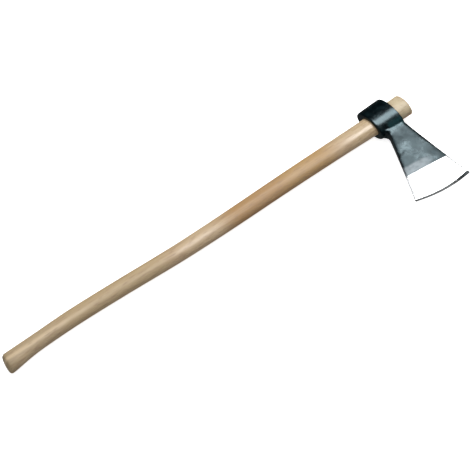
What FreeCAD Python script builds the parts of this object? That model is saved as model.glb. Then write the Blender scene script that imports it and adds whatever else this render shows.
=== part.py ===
import FreeCAD, Part

import os
from math import asin, ceil, cos, degrees, radians, sin, sqrt, tan

from FreeCAD import Matrix, Rotation, Vector

# Wood axe: a forged head with an oval eye, wedged on the end of a curved hardwood handle.
# Lengths are in millimetres and angles in degrees.
# It is modelled standing in its own axes and then laid down on its side.
# X runs along the eye from the grip to the top of the head, with zero at the middle of the eye.
# The blade reaches out along -Y, and Z is square to the flat of the blade.
# Reach is the distance from the axis of the eye towards the cutting edge, along -Y.

# Handle
handle_length = 900.0
stub_length = 33.0
grip_width = 32.0
grip_thickness = 24.5
swell_width = 38.2
swell_thickness = 27.6
butt_slant = 9.0
butt_round = 6.0
stub_chamfer = 3.0

# The most that the curved handle strays from a straight line, to the side of the poll
bow = 7.0

# Eye of the head, an oval tube
eye_length = 53.5
eye_wall_poll = 15.4
eye_wall_blade = 12.6
eye_wall_cheek = 6.2
eye_end_slant = 3.4
eye_round_low = 3.4
eye_round_top = 2.2

# Bore of the eye, which widens towards the top
bore_width_low = 40.4
bore_thickness_low = 26.0
bore_width_top = 44.8
bore_thickness_top = 28.4
bore_clearance = 0.1
bore_rim_chamfer = 1.0

# Blade, seen from the side
neck_reach = 36.0
neck_width = 40.0
neck_forward = 8.5
edge_reach = 178.2
edge_chord = 122.8
edge_set_back = 10.1
edge_tilt = 5.8
edge_crown = 7.3
heel_hollow = 0.6
toe_hollow = 0.5
lug_sweep = 10.0
root_swell = 5.0

# Blade, through its thickness
neck_thickness = 16.6
bit_thickness = 6.6
polish_thickness = 5.4
edge_thickness = 2.4
edge_land = 0.3
bevel_angle = 14.0
bit_depth = 61.6
polish_depth = 50.1
neck_corner = 3.6
bit_corner = 1.5
edge_corner = 0.35

# Wedges in the end of the handle
wood_wedge_depth = 62.0
wood_wedge_thickness = 6.4
wood_wedge_tip = 1.4
steel_wedge_depth = 40.0
steel_wedge_thickness = 3.2
steel_wedge_tip = 0.8
steel_wedge_width = 23.0

# One overrun serves every cut, and the facets used to lay the axe down are this fine
overrun = 10.0
facet = 0.2
face_length = 32.0
settling_rounds = 6
loft_degree = 3
rounding_steps = 3

# Places that follow from the sizes above
eye_half = eye_length / 2
stub_end = eye_half + stub_length
butt_end = stub_end - handle_length
grip_run = -eye_half - butt_end

# Stations of the grip, as shares of its length from the eye, of its widening and of its bow
grip_stations_shares = (
    (0.10, 0.75, 0.06),
    (0.25, 0.54, 0.04),
    (0.42, 0.36, -0.17),
    (0.55, 0.20, -0.08),
    (0.70, 0.04, 0.60),
    (0.82, 0.00, 0.96),
    (0.905, -0.09, 0.79),
)

# Stations of the butt, as shares of the grip's length, of the swelling and of the bow
butt_stations_shares = (
    (0.935, 0.04, 0.66),
    (0.96, 0.42, 0.44),
    (0.985, 0.85, 0.20),
    (1.03, 1.12, 0.00),
)

# Shares of the blade's length over which its root swells, each side of the neck, and is sunk
root_fade_share = 0.055
root_sunk_share = 0.12
root_steps = 8

# Shares of the blade's length at which its sections stand, between the root and the grind
cheek_stations_shares = (0.15, 0.28, 0.42)


def oval(x, middle_reach, width, thickness, slant=0):
    """A closed oval outline across X, wide along Y and thick along Z, slanted about Z."""
    curve = Part.Ellipse(Vector(-middle_reach, 0, 0), width / 2, thickness / 2)
    outline = Part.Wire(curve.toShape())
    lean = sin(radians(slant))
    level = cos(radians(slant))
    outline.transformShape(Matrix(-lean, 0, level, x, level, 0, lean, 0, 0, 1, 0, 0, 0, 0, 0, 1))
    return outline


def smooth_loft(outlines):
    """A solid through the outlines, in one smooth sweep that is parted into short faces.

    The parting changes nothing in the shape, and gives it a tenth of the triangles.
    """
    faces = []
    for face in Part.makeLoft(outlines, True, False, False, loft_degree).Faces:
        if isinstance(face.Surface, Part.Plane):
            faces.append(face)
            continue
        low, high = face.ParameterRange[:2]
        knots = face.Surface.getVKnots()
        for start, end in zip(knots, knots[1:]):
            length = (face.Surface.value(low, end) - face.Surface.value(low, start)).Length
            parts = ceil(length / face_length)
            steps = [between(start, end, part / parts) for part in range(parts + 1)]
            for first, last in zip(steps, steps[1:]):
                faces.append(face.Surface.toShape(low, high, first, last))
    shell = Part.makeShell(faces)
    shell.sewShape()
    return Part.makeSolid(shell)


def between(low, high, share):
    """The value that lies at a share of the way from low to high."""
    return low + (high - low) * share


def bore_width(x):
    """Width of the bore at a place along the eye, also past its ends."""
    return between(bore_width_low, bore_width_top, (x + eye_half) / eye_length)


def bore_thickness(x):
    """Thickness of the bore at a place along the eye, also past its ends."""
    return between(bore_thickness_low, bore_thickness_top, (x + eye_half) / eye_length)


def tenon_oval(x):
    """Outline of the handle where it fills the bore or stands out of it."""
    play = 2 * bore_clearance
    return oval(x, 0, bore_width(x) - play, bore_thickness(x) - play)


def grip_ovals():
    """Outlines of the grip, from the eye down to the butt."""
    top_width = bore_width_low - 2 * bore_clearance
    top_thickness = bore_thickness_low - 2 * bore_clearance
    ovals = [tenon_oval(-eye_half)]
    for place, widening, bow_share in grip_stations_shares:
        width = between(grip_width, top_width, widening)
        thickness = between(grip_thickness, top_thickness, widening)
        ovals.append(oval(-eye_half - grip_run * place, -bow * bow_share, width, thickness))
    for place, swelling, bow_share in butt_stations_shares:
        width = between(grip_width, swell_width, swelling)
        thickness = between(grip_thickness, swell_thickness, swelling)
        ovals.append(oval(-eye_half - grip_run * place, -bow * bow_share, width, thickness))
    return ovals


def handle_blank():
    """The whole stave before it is kerfed: grip, butt, and the tapered tenon through the eye."""
    grip = smooth_loft(grip_ovals()).cut(butt_saw())
    grip = grip.makeFillet(butt_round, [grip_end_edge(grip)])
    tenon_places = (-eye_half, 0, eye_half, stub_end)
    tenon = Part.makeLoft([tenon_oval(x) for x in tenon_places], True, True)
    tenon = tenon.makeChamfer(stub_chamfer, edges_at(tenon, stub_end))
    return grip.fuse(tenon)


def butt_saw():
    """Block that saws the butt off at its slant, longest on the side of the blade."""
    across = swell_width + 2 * overrun
    block = Part.makeBox(across, across, across, Vector(-across, -across / 2, -across / 2))
    block.rotate(Vector(0, 0, 0), Vector(0, 0, 1), -butt_slant)
    block.translate(Vector(butt_end + swell_width / 2 * tan(radians(butt_slant)), 0, 0))
    return block


def grip_end_edge(grip):
    """The closed edge round the sawn end of the butt."""
    closed = [edge for edge in grip.Edges if edge.isClosed()]
    return min(closed, key=lambda edge: edge.BoundBox.XMin)


def edges_at(shape, x):
    """Edges that lie wholly in the plane across X at this place."""
    found = []
    for edge in shape.Edges:
        box = edge.BoundBox
        if abs(box.XMin - x) < facet and abs(box.XMax - x) < facet:
            found.append(edge)
    return found


def taper(depth, thickness, tip):
    """Outline of a wedge driven in from the end of the handle, as x and half thickness."""
    slope = (thickness - tip) / 2 / depth
    mouth = thickness / 2 + slope * overrun
    outer = stub_end + overrun
    inner = stub_end - depth
    return ((outer, -mouth), (outer, mouth), (inner, tip / 2), (inner, -tip / 2))


def wood_wedge_blank():
    """Wedge that lies in the plane of the blade, as wide as any handle."""
    points = [Vector(x, -bore_width_top, z) for x, z in
              taper(wood_wedge_depth, wood_wedge_thickness, wood_wedge_tip)]
    face = Part.Face(Part.makePolygon(points + points[:1]))
    return face.extrude(Vector(0, 2 * bore_width_top, 0))


def steel_wedge_blank():
    """Thin wedge driven across the wooden one."""
    points = [Vector(x, y, -steel_wedge_width / 2) for x, y in
              taper(steel_wedge_depth, steel_wedge_thickness, steel_wedge_tip)]
    face = Part.Face(Part.makePolygon(points + points[:1]))
    return face.extrude(Vector(0, 0, steel_wedge_width))


def eye_oval(x, inset):
    """Outer outline of the eye, a wall's thickness outside the bore, less an inset."""
    width = bore_width(x) + eye_wall_poll + eye_wall_blade - 2 * inset
    thickness = bore_thickness(x) + 2 * (eye_wall_cheek - inset)
    return oval(x, (eye_wall_blade - eye_wall_poll) / 2, width, thickness, eye_end_slant)


def eye_body():
    """Oval blank of the eye with slanted ends, rounded in a few even steps."""
    turns = [radians(90) * step / rounding_steps for step in range(rounding_steps + 1)]
    outlines = []
    for turn in turns:
        outlines.append(eye_oval(-eye_half + eye_round_low * (1 - cos(turn)),
                                 eye_round_low * (1 - sin(turn))))
    outlines += [eye_oval(-eye_half / 3, 0), eye_oval(eye_half / 3, 0)]
    for turn in reversed(turns):
        outlines.append(eye_oval(eye_half - eye_round_top * (1 - cos(turn)),
                                 eye_round_top * (1 - sin(turn))))
    return Part.makeLoft(outlines, True, True)


def bore_oval(x, margin=0):
    """Outline of the bore, or a margin outside it, slanted as the ends of the eye are."""
    play = 2 * margin
    return oval(x, 0, bore_width(x) + play, bore_thickness(x) + play, eye_end_slant)


def bore_cut():
    """The tapered oval hole for the handle, with a chamfered rim towards the grip."""
    chamfer = bore_rim_chamfer
    return Part.makeLoft([
        bore_oval(-eye_half - chamfer, 2 * chamfer),
        bore_oval(-eye_half, chamfer),
        bore_oval(-eye_half + chamfer),
        bore_oval(0),
        bore_oval(eye_half),
        bore_oval(eye_half + overrun)], True, True)


def edge_middle():
    """Middle of the straight line between the two tips of the edge, as x and reach."""
    return Vector(-edge_set_back, -edge_reach, 0)


def along_edge():
    """Direction from the heel to the toe."""
    return Vector(cos(radians(edge_tilt)), -sin(radians(edge_tilt)), 0)


def flank_point(share, side):
    """A point on the heel flank (side -1) or the toe flank (side 1) of the blade."""
    neck = Vector(neck_forward + side * neck_width / 2, -neck_reach, 0)
    tip = edge_middle() + along_edge() * (side * edge_chord / 2)
    hollow = heel_hollow if side < 0 else toe_hollow
    inward = Vector(-side * hollow, 0, 0) * (4 * share * (1 - share))
    return neck + (tip - neck) * share + inward


def cheek_half(share):
    """Half the blade's thickness, which swells towards the eye at the root."""
    neck = neck_thickness / 2
    grind = bit_thickness / 2
    fade = 1 - max(0, share) / bit_share()
    sunk = clamp((root_fade_share - share) / (2 * root_fade_share))
    return grind + (neck - grind) * fade + root_swell * sunk ** 2


def clamp(share):
    """A share held between nothing and all."""
    return min(1, max(0, share))


def blade_length():
    """Distance from the neck to the chord of the edge."""
    return edge_reach - neck_reach


def bit_share():
    """Share of the blade's length where the grinding starts."""
    return 1 - bit_depth / blade_length()


def section(heel, toe, half, corner):
    """A rounded oblong section of the blade between two flank points."""
    across = (toe - heel).normalize()
    up = Vector(0, 0, 1)
    inner_heel = heel + across * corner
    inner_toe = toe - across * corner
    straight = half - corner
    slack = corner * (1 - sqrt(1 / 2))
    edges = []
    corners = ((inner_toe, across, up), (inner_heel, up, -across),
               (inner_heel, -across, -up), (inner_toe, -up, across))
    arcs = []
    for middle, first, second in corners:
        lift = up * straight if (first + second).z > 0 else -up * straight
        centre = middle + lift
        arcs.append((centre + first * corner,
                     centre + (first + second) * (corner - slack),
                     centre + second * corner))
    for number, (start, crest, end) in enumerate(arcs):
        following = arcs[(number + 1) % len(arcs)][0]
        edges.append(Part.Arc(start, crest, end).toShape())
        edges.append(Part.LineSegment(end, following).toShape())
    return Part.Wire(edges)


def root_section(share):
    """Section of the blade between the eye and the start of the grinding."""
    heel = flank_point(share, -1)
    toe = flank_point(share, 1)
    sunk = clamp((root_fade_share - share) / (2 * root_fade_share))
    heel = heel - Vector(lug_sweep * sunk ** 2, 0, 0)
    corner = between(neck_corner, bit_corner, max(0, share) / bit_share())
    return section(heel, toe, cheek_half(share), corner)


def ground_section(share, thickness, corner):
    """Section of the ground part of the blade."""
    return section(flank_point(share, -1), flank_point(share, 1), thickness / 2, corner)


def blade_body():
    """The blade: forged root and cheeks, coarse grind, polished bit and edge bevel."""
    root_shares = [between(-root_fade_share, root_fade_share, step / root_steps)
                   for step in range(root_steps + 1)]
    sections = [root_section(share)
                for share in (-root_sunk_share, *root_shares, *cheek_stations_shares, bit_share())]
    polish_share = 1 - polish_depth / blade_length()
    past_share = 1 + 2 * edge_crown / blade_length()
    sections.append(ground_section(polish_share, polish_thickness, bit_corner))
    sections.append(ground_section(past_share, edge_thickness, edge_corner))
    return Part.makeLoft(sections, True, True).common(edge_lens())


def edge_lens():
    """Disc with two conical faces, whose rim is the crescent of the cutting edge."""
    radius = (edge_chord ** 2 / 4 + edge_crown ** 2) / (2 * edge_crown)
    outward = along_edge().cross(Vector(0, 0, 1))
    centre = edge_middle() - outward * (radius - edge_crown)
    rise = radius * tan(radians(bevel_angle))
    rim = edge_land / 2
    points = [Vector(0, 0, -rise - rim), Vector(radius, 0, -rim), Vector(radius, 0, rim),
              Vector(0, 0, rise + rim)]
    face = Part.Face(Part.makePolygon(points + points[:1]))
    lens = face.revolve(Vector(0, 0, 0), Vector(0, 0, 1), 360)
    lens.translate(centre)
    return lens


def axe_head():
    """The one-piece forging with its bore."""
    head = eye_body().fuse(blade_body())
    return head.cut(bore_cut())


def build():
    """All the pieces by name, standing in the axe's own axes."""
    blank = handle_blank()
    wood_wedge = wood_wedge_blank()
    steel_wedge = steel_wedge_blank().common(blank)
    return {
        "axe_head": axe_head(),
        "handle": blank.cut(wood_wedge).cut(steel_wedge),
        "wood_wedge": wood_wedge.common(blank).cut(steel_wedge),
        "steel_wedge": steel_wedge,
    }


def lowest(points, turn):
    """Height of the lowest point after a turn."""
    return min(turn.multVec(point).z for point in points)


def lying_matrix(pieces):
    """Turn that brings eye, edge and butt to the floor, and shift that centres the axe."""
    eye_points = [point for point in pieces["axe_head"].tessellate(facet)[0]
                  if -point.y < neck_reach]
    edge_points = [point for point in pieces["axe_head"].tessellate(facet)[0]
                   if -point.y > neck_reach]
    butt_points = [point for point in pieces["handle"].tessellate(facet)[0]
                   if point.x < butt_end + handle_length / 4]
    roll = 0.0
    pitch = 0.0
    for _ in range(settling_rounds):
        turn = Rotation(Vector(0, 1, 0), -pitch).multiply(Rotation(Vector(1, 0, 0), roll))
        eye_low = lowest(eye_points, turn)
        roll += degrees(asin((lowest(edge_points, turn) - eye_low) / edge_reach))
        pitch += degrees(asin((lowest(butt_points, turn) - eye_low) / handle_length))
    matrix = turn.toMatrix()
    lying = Part.makeCompound(list(pieces.values())).transformed(matrix, True)
    box = lying.optimalBoundingBox(False)
    matrix.move(Vector(-box.Center.x, -box.Center.y, -box.ZMin))
    return matrix


def main():
    """Lay the axe down on its side and write one file per piece."""
    os.makedirs("parts", exist_ok=True)
    pieces = build()
    matrix = lying_matrix(pieces)
    for name, shape in pieces.items():
        shape = shape.transformed(matrix, True)
        shape.exportStep("parts/" + name + ".step")
        print(name, len(shape.Solids), "solid", round(shape.Volume), "cubic mm", shape.isValid())


if __name__ == "__main__":
    main()
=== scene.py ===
"""Looks of a wood axe: a forged head with a dark lacquered body and a bright ground bit, on a beech handle.

The axe is shaped in its own axes and then laid on its side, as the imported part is. In its own
axes X runs along the eye from the grip to the top of the head, with zero at the middle of the
eye. The blade reaches out along -Y, and Z is square to the flat of the blade. Lengths are in
metres and angles in radians, but for lists of turns, which are in degrees.
"""

import logging
from collections.abc import Callable, Iterable, Sequence
from dataclasses import dataclass
from enum import Enum
from functools import partial
from math import atan2, cos, pi, radians, sin, tan

import bmesh
import bpy
from mathutils import Matrix, Vector, noise

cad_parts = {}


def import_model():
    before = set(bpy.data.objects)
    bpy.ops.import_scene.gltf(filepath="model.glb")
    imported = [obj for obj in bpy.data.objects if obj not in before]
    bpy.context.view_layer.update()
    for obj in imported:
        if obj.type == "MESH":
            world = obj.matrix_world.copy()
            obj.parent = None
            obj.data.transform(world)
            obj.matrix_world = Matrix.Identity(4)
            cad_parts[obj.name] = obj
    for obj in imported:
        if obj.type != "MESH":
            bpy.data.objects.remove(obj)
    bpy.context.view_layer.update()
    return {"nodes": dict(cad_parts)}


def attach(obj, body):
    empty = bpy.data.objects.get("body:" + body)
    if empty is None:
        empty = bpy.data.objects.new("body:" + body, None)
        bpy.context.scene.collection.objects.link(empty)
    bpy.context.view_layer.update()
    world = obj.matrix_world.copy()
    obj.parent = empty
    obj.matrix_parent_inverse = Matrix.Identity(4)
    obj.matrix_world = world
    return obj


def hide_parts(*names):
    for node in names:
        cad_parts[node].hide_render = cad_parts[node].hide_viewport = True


log = logging.getLogger("wood_axe")

Colour = tuple[float, float, float, float]
Numbers = tuple[float, ...]
Pairs = tuple[tuple[float, float], ...]
Triples = tuple[tuple[float, float, float], ...]
Vert = bmesh.types.BMVert
Edge = bmesh.types.BMEdge
Piece = bpy.types.Object
Material = bpy.types.Material
Socket = bpy.types.NodeSocket
Inputs = dict[int | str, object]
PlaceOf = Callable[[int], Vector]
StepOf = Callable[[int, int], Vector]

UP = Vector((0.0, 0.0, 1.0))
WHITE = (1.0, 1.0, 1.0, 1.0)
NOISE_RANGE = (0.3, 0.7)


class Side(Enum):
    """The two flanks of the blade, as signs along X."""

    HEEL = -1
    TOE = 1


def between(low: float, high: float, share: float) -> float:
    """The value that lies at a share of the way from low to high."""
    return low + (high - low) * share


def clamp(share: float) -> float:
    """A share held between nothing and all."""
    return min(1.0, max(0.0, share))


def smooth_through(knots: Sequence[Numbers], place: float) -> Numbers:
    """Values on the smooth curve through some knots.

    Args:
        knots: rows of a place and the values there, in rising order of place.
        place: where on the curve the values are wanted.

    Returns:
        The values at that place.
    """
    last = len(knots) - 2
    number = min(last, max(0, sum(1 for knot in knots if knot[0] <= place) - 1))
    start, end = knots[number], knots[number + 1]
    before, after = knots[max(0, number - 1)], knots[min(last + 1, number + 2)]
    span = end[0] - start[0]
    share = (place - start[0]) / span
    values = []
    for column in range(1, len(start)):
        leave = (end[column] - before[column]) / (end[0] - before[0]) * span
        arrive = (after[column] - start[column]) / (after[0] - start[0]) * span
        straight = between(start[column], end[column], share ** 2 * (3 - 2 * share))
        values.append(straight + leave * share * (1 - share) ** 2
                      - arrive * share ** 2 * (1 - share))
    return tuple(values)


def linked(name: str, data: bpy.types.ID) -> Piece:
    """Makes an object of some data and links it to the scene.

    Args:
        name: the name of the object.
        data: the mesh, light or camera.

    Returns:
        The object.
    """
    piece = bpy.data.objects.new(name, data)
    bpy.context.scene.collection.objects.link(piece)
    return piece


def meshed(name: str, mesh: bmesh.types.BMesh) -> Piece:
    """Makes an object of an edited mesh, which is freed.

    Args:
        name: the name of the object.
        mesh: the edited mesh.

    Returns:
        The object.
    """
    data = bpy.data.meshes.new(name)
    mesh.to_mesh(data)
    mesh.free()
    return linked(name, data)


def looking(back: Vector, right: Vector, place: Vector) -> Matrix:
    """Place and turn of a lamp or camera, from the directions behind it and to its right."""
    turn = Matrix((right, back.cross(right), back)).transposed().to_4x4()
    return Matrix.Translation(place) @ turn


@dataclass(frozen=True)
class Lying:
    """How the axe lies on the floor: its turns and the place of the middle of its eye."""

    roll: float = radians(5.9482)
    pitch: float = radians(-0.4619)
    middle: tuple[float, float, float] = (0.389556, 0.074155, 0.020267)

    @property
    def turn(self) -> Matrix:
        """The turn from the axe's own axes to the floor's."""
        return Matrix.Rotation(self.pitch, 4, "Y") @ Matrix.Rotation(self.roll, 4, "X")

    @property
    def matrix(self) -> Matrix:
        """The whole move from the axe's own axes to the floor's."""
        return Matrix.Translation(Vector(self.middle)) @ self.turn


@dataclass(frozen=True)
class Eye:
    """Sizes of the oval eye, of its walls at poll, blade and cheek, and of its tapered bore."""

    length: float = 0.0535
    walls: tuple[float, float, float] = (0.0154, 0.0126, 0.0062)
    end_slant: float = radians(3.4)
    round_low: float = 0.0034
    round_top: float = 0.0022
    bore_width_low: float = 0.0404
    bore_thickness_low: float = 0.026
    bore_width_top: float = 0.0448
    bore_thickness_top: float = 0.0284
    rim_chamfer: float = 0.001

    @property
    def half(self) -> float:
        """Half the length of the eye."""
        return self.length / 2

    def bore(self, x: float) -> tuple[float, float]:
        """Width and thickness of the bore at a place along the eye, also past its ends."""
        share = (x + self.half) / self.length
        return (between(self.bore_width_low, self.bore_width_top, share),
                between(self.bore_thickness_low, self.bore_thickness_top, share))

    def point(self, x: float, inset: float, turn: float, outside: bool) -> Vector:
        """A point on the outside of the eye or on its bore, in a plane that leans as its ends do.

        Args:
            x: where the plane crosses the axis of the eye.
            inset: how far the point lies inside the full outline.
            turn: angle round the eye, with zero towards the poll.
            outside: whether it lies on the outside, or else on the bore.

        Returns:
            The point in the axe's own axes.
        """
        poll, blade, cheek = self.walls if outside else (0.0, 0.0, 0.0)
        width, thickness = self.bore(x)
        across = (poll - blade + cos(turn) * (width + poll + blade - 2 * inset)) / 2
        up = sin(turn) * (thickness / 2 + cheek - inset)
        return Vector((x - across * sin(self.end_slant), across * cos(self.end_slant), up))


@dataclass(frozen=True)
class Blade:
    """Sizes of the blade, from the neck to the cutting edge."""

    neck_reach: float = 0.036
    neck_width: float = 0.040
    neck_forward: float = 0.0085
    edge_reach: float = 0.1782
    edge_chord: float = 0.1228
    edge_set_back: float = 0.0101
    edge_tilt: float = radians(5.8)
    edge_crown: float = 0.0073
    heel_hollow: float = 0.0006
    toe_hollow: float = 0.0005
    lug_sweep: float = 0.010
    root_swell: float = 0.005
    root_fade_share: float = 0.055
    lug_width_share: float = 0.3
    lug_left: float = 0.15
    neck_thickness: float = 0.0166
    cheek_crown: float = 0.0005
    bit_thickness: float = 0.0066
    polish_thickness: float = 0.0054
    shoulder_heel: float = 0.0031
    shoulder_toe: float = 0.0030
    edge_thickness: float = 0.0003
    band_depth: float = 0.0708
    bit_depth: float = 0.0616
    polish_depth: float = 0.0501
    bevel_depth_heel: float = 0.0029
    bevel_depth_toe: float = 0.0060
    neck_corner: float = 0.0045
    bit_corner: float = 0.0038

    @property
    def length(self) -> float:
        """Distance from the neck to the chord of the edge."""
        return self.edge_reach - self.neck_reach

    @property
    def bit_share(self) -> float:
        """Share of the blade's length where the grinding starts."""
        return 1 - self.bit_depth / self.length

    @property
    def polish_share(self) -> float:
        """Share of the blade's length where the polish starts."""
        return 1 - self.polish_depth / self.length

    @property
    def along_edge(self) -> Vector:
        """Direction from the heel to the toe."""
        return Vector((cos(self.edge_tilt), -sin(self.edge_tilt), 0.0))

    @property
    def outward(self) -> Vector:
        """Direction from the neck to the edge, square to the chord of the edge."""
        return self.along_edge.cross(UP)

    @property
    def edge_middle(self) -> Vector:
        """Middle of the chord of the edge."""
        return Vector((-self.edge_set_back, -self.edge_reach, 0.0))

    def flank(self, share: float, side: Side) -> Vector:
        """A point on a flank of the blade.

        Args:
            share: how far the point lies from the neck to the edge.
            side: which flank.

        Returns:
            The point in the axe's own axes.
        """
        sign = side.value
        neck = Vector((self.neck_forward + sign * self.neck_width / 2, -self.neck_reach, 0.0))
        tip = self.edge_middle + self.along_edge * (sign * self.edge_chord / 2)
        hollow = self.heel_hollow if side is Side.HEEL else self.toe_hollow
        inward = Vector((-sign * hollow, 0.0, 0.0)) * (4 * share * (1 - share))
        return neck + (tip - neck) * share + inward

    def across(self, share: float, width_share: float, crown_share: float) -> Vector:
        """A point in the middle plane of the blade.

        Args:
            share: how far the point lies from the neck to the edge.
            width_share: how far it lies from the heel to the toe.
            crown_share: how much of the edge's crown its line bows out by.

        Returns:
            The point in the axe's own axes.
        """
        line = self.flank(share, Side.HEEL).lerp(self.flank(share, Side.TOE), width_share)
        swell = self.edge_crown * crown_share * 4 * width_share * (1 - width_share)
        return line + self.outward * swell

    def width(self, share: float) -> float:
        """Distance from the heel flank to the toe flank."""
        return (self.flank(share, Side.TOE) - self.flank(share, Side.HEEL)).length

    def lug(self, share: float, width_share: float) -> float:
        """How much the root swells into a lug, which is all at the heel."""
        sunk = clamp((self.root_fade_share - share) / (2 * self.root_fade_share)) ** 2
        return sunk * between(1.0, self.lug_left, clamp(width_share / self.lug_width_share))

    def cheek_half(self, share: float) -> float:
        """Half the blade's thickness between the eye and the grinding, without the lug."""
        fade = 1 - max(0.0, share) / self.bit_share
        return between(self.bit_thickness, self.neck_thickness, fade) / 2

    def cheek_rise(self, share: float) -> float:
        """How much higher the cheek is at its middle than at its flanks."""
        return self.cheek_crown * clamp(1 - share / self.bit_share)


@dataclass(frozen=True)
class Section:
    """A section across the blade.

    Attributes:
        share: how far it lies from the neck to the edge.
        heel_half: half its thickness at the heel.
        toe_half: half its thickness at the toe.
        corner: how far in from the flanks its rounded corners start.
        crown: how much of the edge's crown it bows out by.
    """

    share: float
    heel_half: float
    toe_half: float
    corner: float
    crown: float = 0.0


@dataclass(frozen=True)
class Stave:
    """Sizes of the handle, and its stations from the eye to the butt.

    A station is how far along the grip it lies, how much wider it is than the grip's waist,
    towards the tenon or towards the swelling, and how much of the bow it has, all as shares.
    """

    length: float = 0.900
    stub: float = 0.033
    grip_width: float = 0.032
    grip_thickness: float = 0.0245
    swell_width: float = 0.0382
    swell_thickness: float = 0.0276
    butt_slant: float = radians(9.0)
    butt_round: float = 0.006
    stub_chamfer: float = 0.003
    clearance: float = 0.0001
    bow: float = 0.007
    widenings: Triples = (
        (0.10, 0.75, 0.06), (0.25, 0.54, 0.04), (0.42, 0.36, -0.17), (0.55, 0.20, -0.08),
        (0.70, 0.04, 0.60), (0.82, 0.00, 0.96), (0.905, -0.09, 0.79))
    swellings: Triples = (
        (0.935, 0.04, 0.66), (0.96, 0.42, 0.44), (0.985, 0.85, 0.20), (1.03, 1.12, 0.00))

    def knots(self, eye: Eye) -> list[Numbers]:
        """Stations of the grip, as a place and the width, thickness and bow there.

        Args:
            eye: the eye that the handle fills.

        Returns:
            One row for each station, from the butt to the eye.
        """
        top_width, top_thickness = (size - 2 * self.clearance for size in eye.bore(-eye.half))
        run = self.length - self.stub - eye.length
        rows = [(-eye.half, top_width, top_thickness, 0.0)]
        for table, width, thickness in (
                (self.widenings, top_width, top_thickness),
                (self.swellings, self.swell_width, self.swell_thickness)):
            for place, share, bow_share in table:
                rows.append((-eye.half - run * place,
                             between(self.grip_width, width, share),
                             between(self.grip_thickness, thickness, share),
                             self.bow * bow_share))
        return rows[::-1]


@dataclass(frozen=True)
class Kerf:
    """A saw cut into the end of the stub, which a wedge fills.

    Attributes:
        depth: how deep it goes into the stub.
        mouth: how wide it stands open at the end of the stub.
        tip: how wide it is at its bottom.
        length: how far it runs across the stub.
        turn: its turn about the eye, with zero from the poll to the blade.
    """

    depth: float
    mouth: float
    tip: float
    length: float
    turn: float


class RingNet:
    """A net of rings, grown one from the next, whose points know their ring and column."""

    def __init__(self, columns: int) -> None:
        """Starts the net with one ring.

        Args:
            columns: how many points each ring has.
        """
        self.mesh = bmesh.new()
        self.ring = self.mesh.verts.layers.int.new("ring")
        self.column = self.mesh.verts.layers.int.new("column")
        self.step = self.mesh.verts.layers.int.new("step")
        self.crease = self.mesh.edges.layers.float.new("crease_edge")
        made = bmesh.ops.create_circle(self.mesh, segments=columns, radius=1.0)
        for vert in made["verts"]:
            turn = atan2(vert.co.y, vert.co.x) / (2 * pi)
            vert[self.column] = round(turn * columns) % columns
        self.rim = self.edges_among(made["verts"])
        self.last = 0

    def edges_among(self, verts: Iterable[Vert]) -> list[Edge]:
        """The edges whose two ends are both among some points."""
        chosen = set(verts)
        return [edge for edge in self.mesh.edges if all(vert in chosen for vert in edge.verts)]

    def of_ring(self, number: int) -> list[Vert]:
        """The points of one ring, in no order."""
        return [vert for vert in self.mesh.verts if vert[self.ring] == number]

    def drawn_from(self, edges: list[Edge], number: int) -> list[Vert]:
        """Extrudes a new ring.

        Args:
            edges: the edges that it grows from.
            number: the number that it gets.

        Returns:
            The points of the new ring.
        """
        grown = bmesh.ops.extrude_edge_only(self.mesh, edges=edges)["geom"]
        verts = [part for part in grown if isinstance(part, Vert)]
        for vert in verts:
            vert[self.ring] = number
        return verts

    def add_rings(self, places: Iterable[PlaceOf]) -> None:
        """Places the first ring, and grows one more for each further ring.

        Args:
            places: gives the place of each column, for each ring.
        """
        for number, point_at in enumerate(places):
            if number:
                self.rim = self.edges_among(self.drawn_from(self.rim, number))
            for vert in self.of_ring(number):
                vert.co = point_at(vert[self.column])
            self.last = number

    def close_tube(self) -> None:
        """Joins the last ring to the first, so that the tube has no open end."""
        bmesh.ops.bridge_loops(self.mesh, edges=self.edges_among(self.of_ring(0)) + self.rim)

    def cap(self, number: int, middle: Vector) -> None:
        """Closes a ring with a fan of faces round a middle point."""
        verts = self.drawn_from(self.edges_among(self.of_ring(number)), -1)
        bmesh.ops.pointmerge(self.mesh, verts=verts, merge_co=middle)

    def make(self, name: str, place: Matrix) -> Piece:
        """Makes the net an object, with its faces pointing outwards.

        Args:
            name: the name of the piece.
            place: the move from the axe's own axes to the floor's.

        Returns:
            The new object, at the origin.
        """
        bmesh.ops.recalc_face_normals(self.mesh, faces=self.mesh.faces)
        bmesh.ops.transform(self.mesh, matrix=place, verts=self.mesh.verts)
        for face in self.mesh.faces:
            face.smooth = True
        return meshed(name, self.mesh)


def modified(piece: Piece, kind: str, **settings: object) -> None:
    """Makes what a modifier gives a piece's own mesh.

    Args:
        piece: the piece.
        kind: the type of the modifier.
        settings: the modifier's properties.
    """
    modifier = piece.modifiers.new("Shape", kind)
    for key, value in settings.items():
        setattr(modifier, key, value)
    graph = bpy.context.evaluated_depsgraph_get()
    graph.update()
    rough = piece.data
    piece.data = bpy.data.meshes.new_from_object(piece.evaluated_get(graph))
    piece.data.name = piece.name
    piece.modifiers.clear()
    bpy.data.meshes.remove(rough)


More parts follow.
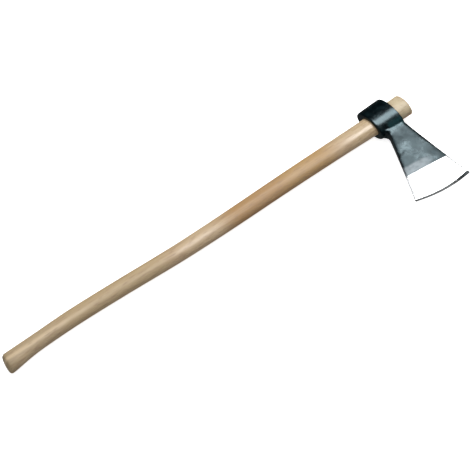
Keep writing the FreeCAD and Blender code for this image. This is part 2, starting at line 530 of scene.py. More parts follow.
class Nodes:
    """A node tree, with short calls to add and link its nodes."""

    def __init__(self, tree: bpy.types.NodeTree) -> None:
        """Takes the tree that the nodes go to."""
        self.tree = tree

    def feed(self, node: bpy.types.Node, inputs: Inputs) -> bpy.types.Node:
        """Links a node's inputs to other sockets, or sets them to plain values.

        Args:
            node: the node.
            inputs: a socket or a plain value for the name or number of each input.

        Returns:
            The same node.
        """
        for key, value in inputs.items():
            if isinstance(value, Socket):
                self.tree.links.new(value, node.inputs[key])
            else:
                node.inputs[key].default_value = value
        return node

    def add(self, kind: str, inputs: Inputs, **settings: object) -> bpy.types.Node:
        """Adds a node.

        Args:
            kind: the type of the node.
            inputs: a socket or a plain value for the name or number of each input.
            settings: the node's properties.

        Returns:
            The new node.
        """
        node = self.tree.nodes.new(kind)
        for key, value in settings.items():
            setattr(node, key, value)
        return self.feed(node, inputs)

    def ranged(self, value: Socket, low: float, high: float, start: float = 0.0,
               end: float = 1.0, smooth: bool = True) -> Socket:
        """Takes a value from one range to another, and holds it at the ends.

        Args:
            value: the value.
            low: where the first range starts.
            high: where the first range ends.
            start: what the result is at its start.
            end: what the result is at its end.
            smooth: whether the result eases in and out, or else runs straight.

        Returns:
            The socket with the result.
        """
        inputs = {"Value": value, "From Min": low, "From Max": high, "To Min": start, "To Max": end}
        way = "SMOOTHSTEP" if smooth else "LINEAR"
        return self.add("ShaderNodeMapRange", inputs, interpolation_type=way).outputs["Result"]

    def span(self, value: Socket, rise: Numbers, fall: Numbers) -> Socket:
        """A share that rises over one range of a value and falls over another."""
        return self.times(self.ranged(value, *rise), self.ranged(value, *fall))

    def spread(self, pattern: Socket, start: float = 0.0, end: float = 1.0) -> Socket:
        """Noise spread over a range of values."""
        return self.ranged(pattern, *NOISE_RANGE, start, end)

    def math(self, operation: str, first: object, second: object) -> Socket:
        """One sum of two numbers."""
        return self.add("ShaderNodeMath", {0: first, 1: second}, operation=operation).outputs[0]

    def times(self, first: object, second: object) -> Socket:
        """The product of two numbers."""
        return self.math("MULTIPLY", first, second)

    def mix(self, share: object, first: object, second: object) -> Socket:
        """Two colours mixed by a share."""
        inputs = {0: share, 6: first, 7: second}
        return self.add("ShaderNodeMix", inputs, data_type="RGBA").outputs[2]

    def blend(self, share: object, first: object, second: object) -> Socket:
        """Two numbers mixed by a share."""
        inputs = {0: share, 2: first, 3: second}
        return self.add("ShaderNodeMix", inputs, data_type="FLOAT").outputs[0]


class Shader(Nodes):
    """A material's node tree, whose patterns can follow the axe's own axes."""

    def __init__(self, name: str, lying: Lying = Lying()) -> None:
        """Starts a material that has only its surface shader.

        Args:
            name: the name of the material.
            lying: how the axe lies.
        """
        self.material = bpy.data.materials.new(name)
        self.material.use_nodes = True
        super().__init__(self.material.node_tree)
        self.place = self.add("ShaderNodeTexCoord", {}).outputs["Object"]
        self.lying = lying

    def sheen(self, **values: object) -> Material:
        """Feeds the surface shader's inputs, named with underscores for spaces."""
        self.feed(self.tree.nodes["Principled BSDF"],
                  {key.replace("_", " "): value for key, value in values.items()})
        return self.material

    def mapped(self, place: Socket, **change: object) -> Socket:
        """Coordinates turned by a Rotation or scaled by a Scale."""
        return self.add("ShaderNodeMapping", {"Vector": place, **change}).outputs["Vector"]

    def turned(self, scale: Numbers = (1.0, 1.0, 1.0)) -> Socket:
        """Object coordinates in the axe's own axes, scaled to make a pattern finer."""
        upright = self.mapped(self.place, Rotation=self.lying.turn.inverted().to_euler())
        return self.mapped(upright, Scale=scale)

    def noise(self, place: Socket, scale: float, detail: float = 3.0,
              roughness: float = 0.5, distortion: float = 0.0) -> Socket:
        """Makes soft noise from nought to one.

        Args:
            place: the coordinates that it follows.
            scale: how fine it is.
            detail: how many finer layers it has.
            roughness: how strong the finer layers are.
            distortion: how much it is warped.

        Returns:
            The socket with the noise.
        """
        inputs = {"Vector": place, "Scale": scale, "Detail": detail,
                  "Roughness": roughness, "Distortion": distortion}
        return self.add("ShaderNodeTexNoise", inputs, normalize=True).outputs["Fac"]

    def bump(self, height: Socket, depth: float, strength: object, **base: Socket) -> Socket:
        """A normal bumped by a height, which is scaled to a depth in metres, over a base Normal."""
        inputs = {"Height": height, "Distance": depth, "Strength": strength, **base}
        return self.add("ShaderNodeBump", inputs).outputs["Normal"]

    def reach(self, direction: Vector, start: Vector) -> Socket:
        """How far each place lies past a start along a direction.

        Args:
            direction: the direction in the axe's own axes.
            start: the start in the axe's own axes.

        Returns:
            The socket with the distance.
        """
        laid = self.lying.turn @ direction
        along = self.add("ShaderNodeVectorMath", {0: self.place, 1: laid}, operation="DOT_PRODUCT")
        return self.math("SUBTRACT", along.outputs["Value"], laid.dot(self.lying.matrix @ start))


@dataclass(frozen=True)
class ForgedSteel:
    """Finish of the head: dark lacquer, a coarsely ground band, and a bright bit.
    A lighter teal band on the eye's wall by the neck is painted reflection.

    A rise or fall is a range of depths past the start of the polish, and one that is named
    along is a range from the middle of the blade towards its toe. A third and fourth number
    are the values at its ends. A noise is its scale, detail, roughness and distortion, and
    spots are a range of noise. Strengths are those of the eye, the cheeks and the bright bit.
    """

    lacquer: Colour = (0.0003, 0.0018, 0.0026, 1.0)
    lacquer_worn: Colour = (0.0018, 0.0068, 0.0085, 1.0)
    # painted reflection: a lighter teal that stands for light mirrored on the eye's wall by the neck
    painted_teal_reflection: Colour = (0.010, 0.034, 0.038, 1.0)
    shine: Colour = (0.70, 0.92, 1.0, 1.0)
    band: Colour = (0.128, 0.146, 0.156, 1.0)
    bright: Colour = (0.86, 0.87, 0.88, 1.0)
    mottle_noise: Numbers = (110.0, 2.0, 0.45, 0.4)
    cloud_noise: Numbers = (46.0, 1.5, 0.5, 0.3)
    wave_noise: Numbers = (90.0, 2.0, 0.5, 0.3)
    fine_noise: Numbers = (900.0, 2.0, 0.5)
    streak_noise: Numbers = (1.0, 3.0, 0.6)
    streak_scale: Numbers = (60.0, 900.0, 300.0)
    worn_spots: Numbers = (0.35, 0.7)
    band_spots: Numbers = (0.3, 0.6, 0.7, 1.0)
    reflection_rise: Numbers = (-0.114, -0.104)
    reflection_fall: Numbers = (-0.098, -0.091, 0.85, 0.0)
    reflection_along: Numbers = (-0.016, -0.008)
    band_start: float = 0.006
    band_along: Numbers = (-0.006, 0.030, 1.0, 0.0)
    blade_rise: Numbers = (-0.108, -0.092)
    ground_rise: Numbers = (-0.0003, 0.0003)
    dull_top_rise: Numbers = (-0.094, -0.086)
    dull_top_fall: Numbers = (-0.078, -0.062, 0.12, 0.0)
    dull_toe_rise: Numbers = (-0.036, -0.022)
    dull_toe_along: Numbers = (0.010, 0.030, 0.0, 0.10)
    eye_rough: Numbers = (0.20, 0.26)
    cheek_rough: Numbers = (0.17, 0.36)
    band_rough: float = 0.42
    bright_rough: Numbers = (0.20, 0.30)
    bright_metal: float = 0.65
    wave_depth: float = 0.0006
    wave_strengths: Numbers = (0.1, 0.45, 0.0)
    grain_depth: float = 0.0001
    grain_strengths: Numbers = (0.02, 0.05, 0.015)

    def make(self, lying: Lying, blade: Blade) -> Material:
        """Makes the material.

        Args:
            lying: how the axe lies.
            blade: the blade whose grinding it follows.

        Returns:
            The new material.
        """
        shader = Shader("forged_steel", lying)
        ranged, blend, times = shader.ranged, shader.blend, shader.times
        start = blade.across(blade.polish_share, 0.5, 0.0)
        depth = shader.reach(blade.outward, start)
        along = shader.reach(blade.along_edge, start)
        place = shader.turned()
        mottle, clouds, waves, fine = (shader.noise(place, *grade) for grade in (
            self.mottle_noise, self.cloud_noise, self.wave_noise, self.fine_noise))
        streaks = shader.noise(shader.turned(self.streak_scale), *self.streak_noise)
        on_blade = ranged(depth, *self.blade_rise)
        ground = ranged(depth, *self.ground_rise)

        def by_part(eye: object, cheek: object, bit: object) -> Socket:
            """A value of its own for the eye, the cheeks and the ground bit."""
            return blend(ground, blend(on_blade, eye, cheek), bit)

        band = blade.polish_depth - blade.band_depth
        bared = times(ranged(depth, band, band + self.band_start),
                      ranged(along, *self.band_along))
        patchy = times(bared, ranged(mottle, *self.band_spots))
        # painted reflection: a lighter teal band on the eye's wall between its highlight and the neck
        painted_reflection = times(shader.span(depth, self.reflection_rise, self.reflection_fall),
                     ranged(along, *self.reflection_along))
        colour = shader.mix(ranged(mottle, *self.worn_spots), self.lacquer, self.lacquer_worn)
        for share, over in ((painted_reflection, self.painted_teal_reflection), (patchy, self.band),
                            (ground, self.bright)):
            colour = shader.mix(share, colour, over)
        rough = blend(on_blade, shader.spread(mottle, *self.eye_rough),
                      shader.spread(clouds, *self.cheek_rough))
        for dull in (shader.span(depth, self.dull_top_rise, self.dull_top_fall),
                     times(ranged(depth, *self.dull_toe_rise),
                           ranged(along, *self.dull_toe_along))):
            rough = shader.math("ADD", rough, dull)
        rough = blend(patchy, rough, self.band_rough)
        rough = blend(ground, rough, shader.spread(streaks, *self.bright_rough))
        forging = shader.bump(waves, self.wave_depth, by_part(*self.wave_strengths))
        grain = shader.bump(blend(ground, fine, streaks), self.grain_depth,
                            by_part(*self.grain_strengths), Normal=forging)
        return shader.sheen(Base_Color=colour, Roughness=rough, Normal=grain, IOR=1.55,
                            Metallic=blend(ground, patchy, self.bright_metal),
                            Specular_Tint=self.shine)


@dataclass(frozen=True)
class HonedSteel:
    """Finish of the bevel of the edge: dark honed steel, with painted shade that makes it
    darkest towards the toe and a little darker at the heel's tip.

    The painted toe shade is a range from the middle of the edge towards its toe.
    """

    honed: Colour = (0.27, 0.28, 0.285, 1.0)
    # colour of the painted shade on the bevel
    dark: Colour = (0.018, 0.020, 0.021, 1.0)
    painted_toe_shade: Numbers = (0.008, 0.044)
    heel_length: float = 0.008
    heel_shade: float = 0.3
    scratch_rough: Numbers = (0.12, 0.18)
    scratch_depth: float = 0.00005

    def make(self, lying: Lying, blade: Blade) -> Material:
        """Makes the material.

        Args:
            lying: how the axe lies.
            blade: the blade whose edge it follows.

        Returns:
            The new material.
        """
        shader = Shader("honed_steel", lying)
        heel = -blade.edge_chord / 2
        along = shader.reach(blade.along_edge, blade.edge_middle)
        scratches = shader.noise(shader.place, 1500.0, 2.0)
        # painted shade: the bevel darkens towards the toe, and a little at the heel's tip
        left = shader.math("MAXIMUM", shader.ranged(along, *self.painted_toe_shade),
                           shader.ranged(along, heel, heel + self.heel_length, self.heel_shade, 0.0))
        return shader.sheen(Base_Color=shader.mix(left, self.honed, self.dark),
                            Metallic=shader.blend(left, 0.5, 1.0),
                            Roughness=shader.spread(scratches, *self.scratch_rough),
                            Normal=shader.bump(scratches, self.scratch_depth, 0.2))


@dataclass(frozen=True)
class Zone:
    """A length of the stave that is given a colour and gloss of its own.

    Attributes:
        start: where the colour starts, along the eye.
        full_from: where it reaches its full weight.
        full_to: where it starts to fade.
        end: where it has faded.
        weight: how much of the colour there is at the full weight.
        colour: the colour.
        roughness: how rough the wood is there.
    """

    start: float
    full_from: float
    full_to: float
    end: float
    weight: float
    colour: Colour
    roughness: float = 0.58


@dataclass(frozen=True)
class Beech:
    """Finish of the handle: oiled beech with its rays and rings along the stave, a pale streak of
    painted highlight along its top near the butt, and blotches of painted shade at the stub's
    end and where the stub leaves the eye.

    Places are measured from the middle of the eye, along it or across it towards the poll.
    Spots are a range of noise. A third and fourth number are the values at a range's ends.
    """

    name: str = "beech"
    pale: Colour = (0.475, 0.358, 0.222, 1.0)
    warm: Colour = (0.365, 0.250, 0.140, 1.0)
    dark: Colour = (0.24, 0.15, 0.085, 1.0)
    zones: tuple[Zone, ...] = (
        Zone(-0.90, -0.86, -0.76, -0.68, 0.55, (0.36, 0.28, 0.165, 1.0)),
        # darker towards the tip of the butt
        Zone(-0.90, -0.86, -0.832, -0.815, 0.50, (0.25, 0.185, 0.10, 1.0)),
        Zone(-0.74, -0.69, -0.53, -0.48, 0.50, (0.36, 0.27, 0.140, 1.0)),
        Zone(-0.50, -0.46, -0.42, -0.37, 0.60, (0.46, 0.345, 0.215, 1.0), 0.32),
        Zone(-0.40, -0.34, -0.24, -0.20, 0.90, (0.335, 0.195, 0.078, 1.0)),
        Zone(-0.26, -0.22, -0.15, -0.10, 0.90, (0.360, 0.222, 0.090, 1.0), 0.54),
        Zone(-0.12, -0.06, 0.03, 0.07, 0.85, (0.435, 0.330, 0.205, 1.0), 0.24),
        Zone(0.026, 0.036, 0.08, 0.09, 0.80, (0.440, 0.370, 0.240, 1.0), 0.50))
    # painted highlight: a pale streak along the top of the stave near the butt
    painted_highlight: Colour = (0.62, 0.48, 0.31, 1.0)
    highlight_rise: Numbers = (-0.002, 0.003)
    highlight_fall: Numbers = (0.004, 0.010, 0.55, 0.0)
    highlight_along: Numbers = (-0.76, -0.64, 1.0, 0.0)
    # painted shade at the stub's chamfered end and where the stub leaves the eye
    end_shade: Numbers = (0.0545, 0.0585)
    stub_base_shade: Numbers = (0.026, 0.034, 0.0, 0.2)
    grain_scale: Numbers = (6.0, 160.0, 160.0)
    fleck_scale: Numbers = (45.0, 320.0, 320.0)
    blotch_scale: Numbers = (25.0, 90.0, 90.0)
    shade_blotch_scale: Numbers = (130.0, 110.0, 110.0)
    blotch_spots: Numbers = (0.35, 0.7, 0.0, 0.6)
    zone_spots: Numbers = (0.25, 0.6, 0.75, 1.1)
    fleck_spots: Numbers = (0.5, 0.72, 0.0, 0.5)
    dark_patch_spots: Numbers = (0.42, 0.62, 0.0, 0.85)
    rough: Numbers = (0.50, 0.62)
    grain_depth: float = 0.0002
    fleck_height: float = 0.4

    def make(self, lying: Lying) -> Material:
        """Makes the material.

        Args:
            lying: how the axe lies.

        Returns:
            The new material.
        """
        shader = Shader(self.name, lying)
        ranged, mix, times = shader.ranged, shader.mix, shader.times
        grain, flecks, blotch, shade_blotches = (
            shader.noise(shader.turned(scale), 1.0, *grade) for scale, *grade in (
                (self.grain_scale, 5.0, 0.6, 0.4), (self.fleck_scale, 2.0),
                (self.blotch_scale, 2.0), (self.shade_blotch_scale, 3.0, 0.6)))
        along = shader.reach(Vector((1.0, 0.0, 0.0)), Vector())
        across = shader.reach(Vector((0.0, 1.0, 0.0)), Vector())
        colour = mix(shader.spread(grain), self.pale, self.warm)
        colour = mix(ranged(blotch, *self.blotch_spots), colour, self.warm)
        rough = shader.spread(grain, *self.rough)
        for zone in self.zones:
            patches = times(shader.span(along, (zone.start, zone.full_from, 0.0, zone.weight),
                                        (zone.full_to, zone.end, 1.0, 0.0)),
                            ranged(grain, *self.zone_spots))
            colour = mix(patches, colour, zone.colour)
            rough = shader.blend(patches, rough, zone.roughness)
        # painted highlight: a pale streak along the top of the stave near the butt
        highlight_streak = times(shader.span(across, self.highlight_rise, self.highlight_fall),
                       ranged(along, *self.highlight_along))
        # painted shade: blotchy darkening at the stub's chamfered end and in the crease where the stub
        # leaves the eye
        edge = shader.math("MAXIMUM", ranged(along, *self.end_shade),
                           ranged(along, *self.stub_base_shade))
        for share, over in ((highlight_streak, self.painted_highlight),
                            (ranged(flecks, *self.fleck_spots), self.dark),
                            (times(edge, ranged(shade_blotches, *self.dark_patch_spots)), self.dark)):
            colour = mix(share, colour, over)
        height = shader.math("ADD", grain, times(flecks, self.fleck_height))
        return shader.sheen(Base_Color=colour, Roughness=rough, Specular_IOR_Level=0.6,
                            Normal=shader.bump(height, self.grain_depth, 0.4))


@dataclass(frozen=True)
class DullSteel:
    """Finish of the steel wedge: dull rolled steel, hammered at its top."""

    colour: Colour = (0.30, 0.30, 0.31, 1.0)
    stain: Colour = (0.12, 0.10, 0.09, 1.0)
    dark_patch_spots: Numbers = (0.45, 0.7)
    rough: Numbers = (0.35, 0.6)
    dent_depth: float = 0.0002

    def make(self) -> Material:
        """Makes the material.

        Returns:
            The new material.
        """
        shader = Shader("dull_steel")
        spots = shader.noise(shader.place, 500.0, 4.0, 0.6)
        return shader.sheen(
            Base_Color=shader.mix(shader.ranged(spots, *self.dark_patch_spots), self.colour, self.stain),
            Roughness=shader.spread(spots, *self.rough), Metallic=1.0,
            Normal=shader.bump(spots, self.dent_depth, 0.5))


@dataclass
class Head:
    """The forged head: an oval eye whose wall is drawn out into a flared blade.

    The turns are the angles of half the columns round the eye. The root rings are the places
    along the eye of the rings that the blade grows from, and the width shares say where each
    of them runs on the blade, from heel to toe. The polish steps are pairs of how far a
    section lies from the neck to the edge, and how much of the edge's crown it has.

    The rims and the ends of the bore are pairs of how far a ring lies in from the end of the
    eye, and how far inside its full outline or outside the bore. Those of the rims and of the
    low end of the bore are shares of the rounding or the chamfer there.
    """

    lying: Lying
    eye: Eye
    blade: Blade
    finish: ForgedSteel = ForgedSteel()
    edge_finish: HonedSteel = HonedSteel()
    turns: Numbers = (0, 15, 30, 45, 60, 75, 90, 106, 124, 143, 155, 168, 180)
    root_rings: Numbers = (-0.0200, -0.0165, -0.0085, 0.0010, 0.0110, 0.0205, 0.0244)
    width_shares: Numbers = (0.0, 0.0, 0.25, 0.5, 0.75, 1.0, 1.0)
    first_column: int = 9
    first_root_ring: int = 4
    low_rim: Pairs = ((0.0, 1.05), (0.0, 0.75), (0.205025, 0.205025), (0.75, 0.0))
    top_rim: Pairs = ((0.4, 0.08), (0.1, 0.5), (0.0, 1.2))
    bore_top: Pairs = ((0.0, 0.0008), (0.0, 0.0002), (0.0012, 0.0))
    bore_low: Pairs = ((2.0, 0.0), (1.0, 0.1), (0.0, 1.0))
    root_share: float = -0.045
    cheek_shares: Numbers = (-0.02, 0.005, 0.035, 0.07, 0.14, 0.24, 0.36, 0.47)
    polish_crown: float = 0.1
    polish_steps: Pairs = ((0.75, 0.3), (0.84, 0.6), (0.91, 0.85))
    edge_corner: float = 0.0006
    fillet_weight: float = 0.75
    corner_drop: float = 0.0012
    least_half: float = 0.002
    edge_inset: float = 0.004
    edge_crease: float = 0.85
    forging_depth: float = 0.00016
    forging_length: float = 0.020
    forging_fade: float = 0.006
    ripple_share: float = 0.5
    ripple_length: float = 0.008
    smoothing: int = 3

    @property
    def columns(self) -> int:
        """Number of points in a ring."""
        return 2 * (len(self.turns) - 1)

    @property
    def last_column(self) -> int:
        """The last of the columns that the blade grows from."""
        return self.columns - self.first_column

    def turn_of(self, column: int) -> float:
        """The angle round the eye of a column."""
        mirrored = self.columns - column
        return radians(self.turns[column]) if column <= mirrored else -radians(self.turns[mirrored])

    def height_of(self, column: int) -> float:
        """How high a column lies on the blade, from 1 at its top to -1 at its bottom."""
        return 1 - 2 * (column - self.first_column) / (self.last_column - self.first_column)

    def eye_point(self, outside: bool, x: float, inset: float, column: int) -> Vector:
        """A point of a ring on the outside of the eye or in its bore."""
        return self.eye.point(x, inset, self.turn_of(column), outside)

    def eye_rings(self) -> list[PlaceOf]:
        """Lays out the rings of the eye, over its outside and back through its bore.

        Returns:
            The places of each ring.
        """
        eye = self.eye
        half, low, top, rim = eye.half, eye.round_low, eye.round_top, eye.rim_chamfer
        outside = [(low * in_by - half, low * inset) for in_by, inset in self.low_rim]
        outside += [(x, 0.0) for x in self.root_rings]
        outside += [(half - top * in_by, top * inset) for in_by, inset in self.top_rim]
        bore = [(half - in_by, -margin) for in_by, margin in self.bore_top]
        bore.append((0.0, 0.0))
        bore += [(rim * in_by - half, -rim * margin) for in_by, margin in self.bore_low]
        return ([partial(self.eye_point, True, *ring) for ring in outside]
                + [partial(self.eye_point, False, *ring) for ring in bore])

    def blade_point(self, section: Section, ring: int, column: int) -> Vector:
        """A point of one section of the blade.

        Args:
            section: the section.
            ring: the ring of the eye that the point grew from.
            column: the column of the eye that the point grew from.

        Returns:
            The point in the axe's own axes.
        """
        blade = self.blade
        place = ring - self.first_root_ring
        width_share = self.width_shares[place]
        at_flank = place in (0, len(self.width_shares) - 1)
        if not at_flank:
            corner_share = section.corner / blade.width(section.share)
            width_share = min(1 - corner_share, max(corner_share, width_share))
        lug = blade.lug(section.share, width_share)
        half = between(section.heel_half, section.toe_half, width_share) + blade.root_swell * lug
        half += blade.cheek_rise(section.share) * 4 * width_share * (1 - width_share)
        height = self.height_of(column)
        if at_flank and column in (self.first_column, self.last_column):
            height *= 1 - self.corner_drop / max(half, self.least_half)
        middle = blade.across(section.share, width_share, section.crown)
        return middle - Vector((blade.lug_sweep * lug * (1 - width_share), 0.0, -half * height))

    def edge_point(self, shoulder: bool, ring: int, column: int) -> Vector:
        """A point of the cutting edge, or of the shoulder where its bevel starts.

        Args:
            shoulder: whether it is a point of the shoulder.
            ring: the ring of the eye that the point grew from.
            column: the column of the eye that the point grew from.

        Returns:
            The point in the axe's own axes.
        """
        blade = self.blade
        place = ring - self.first_root_ring
        width_share = self.width_shares[place]
        if 0 < place < len(self.width_shares) - 1:
            width_share = between(self.edge_inset, 1 - self.edge_inset, width_share)
        half, share = blade.edge_thickness / 2, 1.0
        if shoulder:
            half = between(blade.shoulder_heel, blade.shoulder_toe, width_share) / 2
            bevel = between(blade.bevel_depth_heel, blade.bevel_depth_toe, width_share)
            share -= bevel / blade.length
        return blade.across(share, width_share, 1.0) + UP * (half * self.height_of(column))

    def fillet_point(self, root: Section, ring: int, column: int) -> Vector:
        """A point of the fillet, on its way from the wall of the eye to the neck."""
        wall = self.eye_point(True, self.root_rings[ring - self.first_root_ring], 0.0, column)
        return wall.lerp(self.blade_point(root, ring, column), self.fillet_weight)

    def blade_steps(self) -> list[StepOf]:
        """Lays out the sections of the blade, from its root to its edge.

        Returns:
            The places of each section, by ring and column.
        """
        blade = self.blade
        sections = []
        for share in (self.root_share, *self.cheek_shares, blade.bit_share):
            half = blade.cheek_half(share)
            corner = between(blade.neck_corner, blade.bit_corner,
                             max(0.0, share) / blade.bit_share)
            sections.append(Section(share, half, half, corner))
        for share, crown in ((blade.polish_share, self.polish_crown), *self.polish_steps):
            fade = (share - blade.polish_share) / (1 - blade.polish_share)
            heel, toe = (between(blade.polish_thickness, shoulder, fade) / 2
                         for shoulder in (blade.shoulder_heel, blade.shoulder_toe))
            corner = between(blade.bit_corner, self.edge_corner, fade)
            sections.append(Section(share, heel, toe, corner, crown))
        return ([partial(self.fillet_point, sections[0])]
                + [partial(self.blade_point, section) for section in sections[1:]]
                + [partial(self.edge_point, shoulder) for shoulder in (True, False)])

    def draw_out(self, net: RingNet) -> None:
        """Extrudes the blade's sections out of the wall of the eye.

        Args:
            net: the net of the eye.
        """
        rings = range(self.first_root_ring, self.first_root_ring + len(self.root_rings))

        def on_patch(vert: Vert) -> bool:
            """Whether a point is one that the blade grows from."""
            return vert[net.ring] in rings and (
                self.first_column <= vert[net.column] <= self.last_column)

        faces = [face for face in net.mesh.faces if all(on_patch(v) for v in face.verts)]
        steps = self.blade_steps()
        for number, point_at in enumerate(steps, 1):
            grown = bmesh.ops.extrude_face_region(net.mesh, geom=faces)["geom"]
            left = [face for face in faces if face.is_valid]
            bmesh.ops.delete(net.mesh, geom=left, context="FACES")
            faces = [part for part in grown if isinstance(part, bmesh.types.BMFace)]
            for vert in {vert for face in faces for vert in face.verts}:
                vert[net.step] = number
                vert.co = point_at(vert[net.ring], vert[net.column])
        bevel_steps = (len(steps) - 1, len(steps))
        for face in net.mesh.faces:
            if all(vert[net.step] in bevel_steps for vert in face.verts):
                face.material_index = 1
        for edge in net.mesh.edges:
            start, end = (vert[net.step] for vert in edge.verts)
            if start == end and start in bevel_steps and len(edge.link_faces) == 2 and (
                    not all(face in faces for face in edge.link_faces)):
                edge[net.crease] = self.edge_crease

    def forge(self, piece: Piece) -> None:
        """Gives the lacquered skin the shallow waves that forging leaves.

        Args:
            piece: the head, already smooth.
        """
        line = self.lying.matrix @ self.blade.across(self.blade.polish_share, 0.5, 0.0)
        outward = self.lying.turn @ self.blade.outward
        normals = [vert.normal.copy() for vert in piece.data.vertices]
        for vert, normal in zip(piece.data.vertices, normals):
            place = vert.co.copy()
            depth = self.forging_depth * clamp((line - place).dot(outward) / self.forging_fade)
            wave = noise.noise(place / self.forging_length)
            wave += self.ripple_share * noise.noise(place / self.ripple_length)
            vert.co = place + normal * (depth * wave)

    def build(self) -> Piece:
        """Builds and dresses the head.

        Returns:
            The finished piece.
        """
        net = RingNet(self.columns)
        net.add_rings(self.eye_rings())
        net.close_tube()
        self.draw_out(net)
        piece = net.make("head_forging", self.lying.matrix)
        piece.data.materials.append(self.finish.make(self.lying, self.blade))
        piece.data.materials.append(self.edge_finish.make(self.lying, self.blade))
        modified(piece, "SUBSURF", levels=self.smoothing, render_levels=self.smoothing)
        self.forge(piece)
        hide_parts("axe_head")
        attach(piece, "root")
        return piece


@dataclass
class Handle:
    """The stave: a slender curved grip, a swollen slanted butt, and the tenon through the eye.

    The rim of the stub is pairs of how far a ring lies in from its end, and how far inside
    its full outline, as shares of its chamfer. The inset of the butt's face and the start of
    the grip are shares of the butt's rounding.
    """

    lying: Lying
    eye: Eye
    stave: Stave
    finish: Beech = Beech()
    columns: int = 32
    ring_spacing: float = 0.016
    butt_turns: Numbers = (18, 42, 66, 88)
    face_inset: float = 1.15
    grip_start: float = 1.9
    lean_fade: float = 6.0
    smoothing: int = 2
    kerf_over: float = 0.002
    stub_rim: Pairs = ((4.0, 0.0), (1.3, 0.0), (0.85, 0.15), (0.15, 0.85), (0.0, 1.3), (0.0, 2.5))
    kerfs: tuple[Kerf, ...] = (Kerf(0.062, 0.0066, 0.0016, 0.060, 0.0),
                               Kerf(0.040, 0.0034, 0.0010, 0.0232, radians(90)))

    @property
    def stub_end(self) -> float:
        """Place of the end of the stub along the eye."""
        return self.eye.half + self.stave.stub

    @property
    def butt_slope(self) -> float:
        """Rise of the butt's sawn face along the stave for each metre across it."""
        return tan(self.stave.butt_slant)

    @property
    def butt_middle(self) -> float:
        """Where the butt's sawn face crosses the line of the eye."""
        longest = self.stub_end - self.stave.length + self.stave.clearance
        return longest + self.stave.swell_width / 2 * self.butt_slope

    def sizes(self, x: float) -> tuple[float, float, float]:
        """Sizes of the stave at a place along it.

        Args:
            x: the place, along the line of the eye.

        Returns:
            The width, the thickness and the bow there.
        """
        if x >= -self.eye.half:
            width, thickness = self.eye.bore(x)
            play = 2 * self.stave.clearance
            return width - play, thickness - play, 0.0
        return smooth_through(self.stave.knots(self.eye), x)

    def point(self, x: float, inset: float, lean: float, column: int) -> Vector:
        """A point of a ring round the stave.

        Args:
            x: where the ring crosses the line of the eye.
            inset: how far the ring lies inside the full outline.
            lean: how much of the butt's slant the ring has.
            column: the column of the point.

        Returns:
            The point in the axe's own axes.
        """
        slope = self.butt_slope * lean
        turn = 2 * pi * column / self.columns
        width, thickness, bow = self.sizes(x)
        for _ in range(3):
            y = bow + cos(turn) * (width / 2 - inset)
            width, thickness, bow = self.sizes(x + slope * y)
        return Vector((x + slope * y, y, sin(turn) * (thickness / 2 - inset)))

    def rings(self) -> list[PlaceOf]:
        """Lays out the rings from the butt to the end of the stub.

        Returns:
            The places of each ring.
        """
        stave, middle, end = self.stave, self.butt_middle, self.stub_end
        bend, edge = stave.butt_round, stave.stub_chamfer
        rings = [(middle, stave.swell_width / 4, 1.0), (middle, bend * self.face_inset, 1.0)]
        rings += [(middle + bend * (1 - cos(turn)), bend * (1 - sin(turn)), 1.0)
                  for turn in map(radians, self.butt_turns)]
        start = middle + bend * self.grip_start
        span = -self.eye.half - start
        count = round(span / self.ring_spacing)
        rings += [(start + span * number / count, 0.0,
                   max(0.0, 1 - self.lean_fade * number / count)) for number in range(count)]
        rings += [(x, 0.0, 0.0) for x in (-self.eye.half, 0.0, self.eye.half)]
        rings += [(end - edge * in_by, edge * inset, 0.0) for in_by, inset in self.stub_rim]
        return [partial(self.point, *ring) for ring in rings]

    def saw(self, piece: Piece) -> None:
        """Saws the two crossed kerfs that the wedges fill into the end of the stub.

        Args:
            piece: the handle, already smooth.
        """
        for kerf in self.kerfs:
            cutter = bmesh.new()
            bmesh.ops.create_cube(cutter, size=1.0)
            for vert in cutter.verts:
                run = kerf.depth + self.kerf_over if vert.co.x > 0 else 0.0
                vert.co = Vector((self.stub_end - kerf.depth + run, vert.co.y * kerf.length,
                                  vert.co.z * between(kerf.tip, kerf.mouth, run / kerf.depth)))
            spin = Matrix.Rotation(kerf.turn, 3, "X")
            bmesh.ops.rotate(cutter, matrix=spin, verts=cutter.verts)
            bmesh.ops.transform(cutter, matrix=self.lying.matrix, verts=cutter.verts)
            tool = meshed("kerf", cutter)
            modified(piece, "BOOLEAN", operation="DIFFERENCE", object=tool)
            bpy.data.meshes.remove(tool.data)

    def build(self) -> Piece:
        """Builds and dresses the handle.

        Returns:
            The finished piece.
        """
        net = RingNet(self.columns)
        net.add_rings(self.rings())
        net.cap(0, Vector((self.butt_middle, 0.0, 0.0)))
        net.cap(net.last, Vector((self.stub_end, 0.0, 0.0)))
        piece = net.make("handle_stave", self.lying.matrix)
        piece.data.materials.append(self.finish.make(self.lying))
        modified(piece, "SUBSURF", levels=self.smoothing, render_levels=self.smoothing)
        self.saw(piece)
        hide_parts("handle")
        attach(piece, "root")
        return piece


@dataclass
class Wedges:
    """The two wedges that lock the head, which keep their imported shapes."""

    lying: Lying

    def dress(self, nodes: dict[str, Piece]) -> list[Piece]:
        """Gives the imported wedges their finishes.

        Args:
            nodes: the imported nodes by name.

        Returns:
            The wedges.
        """
        wood = Beech("wedge_beech", pale=(0.52, 0.34, 0.19, 1.0), warm=(0.42, 0.26, 0.14, 1.0),
                     zones=()).make(self.lying)
        finishes = {"wood_wedge": wood, "steel_wedge": DullSteel().make()}
        for name, material in finishes.items():
            for holder in nodes[name].material_slots:
                holder.material = material
        return [nodes[name] for name in finishes]


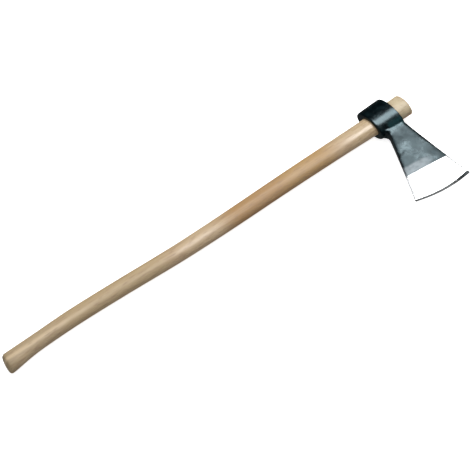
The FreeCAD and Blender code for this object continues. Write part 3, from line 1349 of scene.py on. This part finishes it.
@dataclass(frozen=True)
class Softbox:
    """A soft rectangular light.

    Attributes:
        name: its name.
        direction: from what it lights towards it.
        distance: how far away it stands.
        size: its width along X and its depth.
        radiance: how bright its face is.
        mirrored: whether it is only seen mirrored in glossy surfaces, or else only lights
            the surfaces by their matt share.
    """

    name: str
    direction: tuple[float, float, float]
    distance: float
    size: tuple[float, float]
    radiance: float
    mirrored: bool = False

    def build(self, aim: Vector) -> None:
        """Makes the light.

        Args:
            aim: what it is turned to.
        """
        data = bpy.data.lights.new(self.name, "AREA")
        data.shape = "RECTANGLE"
        data.size, data.size_y = self.size
        data.energy = 4 * self.size[0] * self.size[1] * self.radiance
        back = Vector(self.direction).normalized()
        side = Vector((1.0, 0.0, 0.0))
        side = (side - back * side.dot(back)).normalized()
        light = linked(self.name, data)
        light.matrix_world = looking(back, side, aim + back * self.distance)
        light.visible_diffuse = not self.mirrored
        light.visible_glossy = self.mirrored


@dataclass(frozen=True)
class Studio:
    """The pale floor, the soft lights and the camera.

    The focal length and the frame's width are in pixels of the photograph. A dome is a range
    of heights of the direction, and how bright the sky is at its ends.
    """

    target: tuple[float, float, float] = (0.024528, 0.051602, 0.0)
    azimuth: float = radians(-39.7243)
    elevation: float = radians(52.0)
    distance: float = 3.2
    focal: float = 1826.413
    frame: float = 470.0
    floor_size: float = 12.0
    dome: Numbers = (-0.3, 0.5, 0.62, 0.42)
    mirrored_dome: Numbers = (-0.05, 0.05, 0.15, 0.02)
    softboxes: tuple[Softbox, ...] = (
        Softbox("mirrored", (0.30, -0.02, 0.92), 2.6, (2.1, 0.93), 8.2, mirrored=True),
        Softbox("shading", (0.25, 0.35, 0.90), 2.4, (1.6, 1.6), 6.8),
        Softbox("butt_side", (-0.7, -0.2, 0.68), 2.6, (1.5, 1.5), 0.8))

    def backdrop(self) -> None:
        """Makes the floor."""
        mesh = bmesh.new()
        bmesh.ops.create_grid(mesh, x_segments=1, y_segments=1, size=self.floor_size)
        floor = meshed("floor", mesh)
        floor.data.materials.append(Shader("pale_floor").sheen(
            Base_Color=(0.86, 0.86, 0.86, 1.0), Roughness=0.9,
            Emission_Color=WHITE, Emission_Strength=0.8))
        floor.visible_glossy = False
        floor.visible_diffuse = False

    def sky(self) -> None:
        """Makes the soft light from all round, of which glossy steel mirrors little."""
        world = bpy.data.worlds.new("studio")
        bpy.context.scene.world = world
        world.use_nodes = True
        nodes = Nodes(world.node_tree)
        direction = nodes.add("ShaderNodeTexCoord", {}).outputs["Generated"]
        height = nodes.add("ShaderNodeSeparateXYZ", {"Vector": direction}).outputs["Z"]
        rays = nodes.add("ShaderNodeLightPath", {}).outputs
        strength = nodes.blend(rays["Is Glossy Ray"],
                               nodes.ranged(height, *self.dome, smooth=False),
                               nodes.ranged(height, *self.mirrored_dome, smooth=False))
        nodes.feed(world.node_tree.nodes["Background"],
                   {"Color": WHITE, "Strength": nodes.blend(rays["Is Camera Ray"], strength, 1.0)})

    def camera(self) -> None:
        """Makes the camera, at the photograph's angle."""
        data = bpy.data.cameras.new("camera")
        data.sensor_fit = "HORIZONTAL"
        data.sensor_width = 36.0
        data.lens = self.focal / self.frame * data.sensor_width
        data.clip_start, data.clip_end = 0.05, 50.0
        back = Vector((sin(self.azimuth) * cos(self.elevation),
                       -cos(self.azimuth) * cos(self.elevation), sin(self.elevation)))
        right = Vector((cos(self.azimuth), sin(self.azimuth), 0.0))
        camera = linked("camera", data)
        camera.matrix_world = looking(back, right, Vector(self.target) + back * self.distance)
        bpy.context.scene.camera = camera

    def build(self, aim: Vector) -> None:
        """Sets up the whole studio.

        Args:
            aim: the middle of the head, which the lights are turned to.
        """
        self.backdrop()
        self.sky()
        for softbox in self.softboxes:
            softbox.build(aim)
        self.camera()
        settings = bpy.context.scene.view_settings
        settings.view_transform = "Standard"
        settings.look = "None"
        settings.exposure = 0.0
        settings.gamma = 1.0


def main() -> None:
    """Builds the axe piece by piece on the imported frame."""
    logging.basicConfig(level=logging.INFO, format="%(name)s: %(message)s")
    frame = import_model()
    lying, eye, blade, stave = Lying(), Eye(), Blade(), Stave()
    pieces = [Head(lying, eye, blade).build(), Handle(lying, eye, stave).build()]
    pieces += Wedges(lying).dress(frame["nodes"])
    for piece in pieces:
        log.info("%s has %d faces", piece.name, len(piece.data.polygons))
    Studio().build(Vector(lying.middle))


if __name__ == "__main__":
    main()
